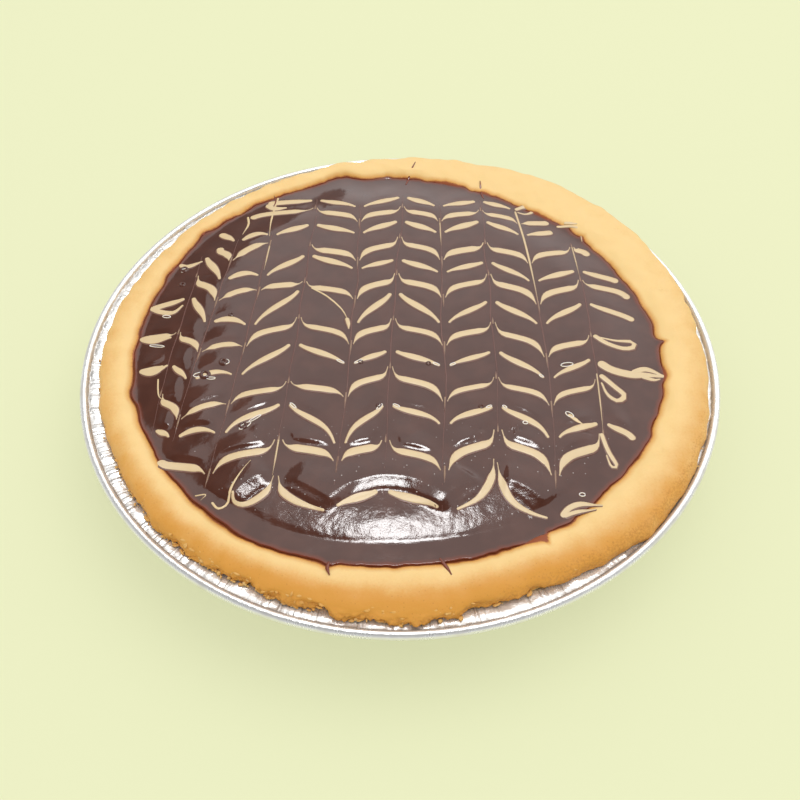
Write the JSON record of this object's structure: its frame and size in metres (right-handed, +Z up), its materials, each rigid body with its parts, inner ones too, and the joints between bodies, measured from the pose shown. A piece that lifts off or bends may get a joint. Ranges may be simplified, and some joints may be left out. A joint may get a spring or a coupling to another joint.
{
  "type": "chocolate tart in a foil dish",
  "caption": "Round shortcrust tart with a glossy chocolate filling, topped with feathered caramel icing, in a rolled-rim aluminium foil baking dish.",
  "frame": {"origin": "middle of the dish's flat base, on the surface that the tart stands on", "axes": "+Z up out of the chocolate, -Y towards the front of the tart, so that the drawn drag lines of the icing run along Y"},
  "size_m": [0.224, 0.224, 0.0342],
  "materials": {
    "aluminium_foil": "bright thin foil, pleated and creased, with a smooth rolled rim",
    "baked_shortcrust": "dry, smooth, pale golden baked pastry, browner and crumbly at its outer edge",
    "chocolate_glaze": "glossy, moist, very dark brown chocolate glaze",
    "caramel_icing": "soft satin caramel icing"
  },
  "bodies": {
    "root": {"foil_dish": "aluminium_foil", "pastry_crust": "baked_shortcrust", "chocolate_filling": "chocolate_glaze"}
  },
  "joints": []
}
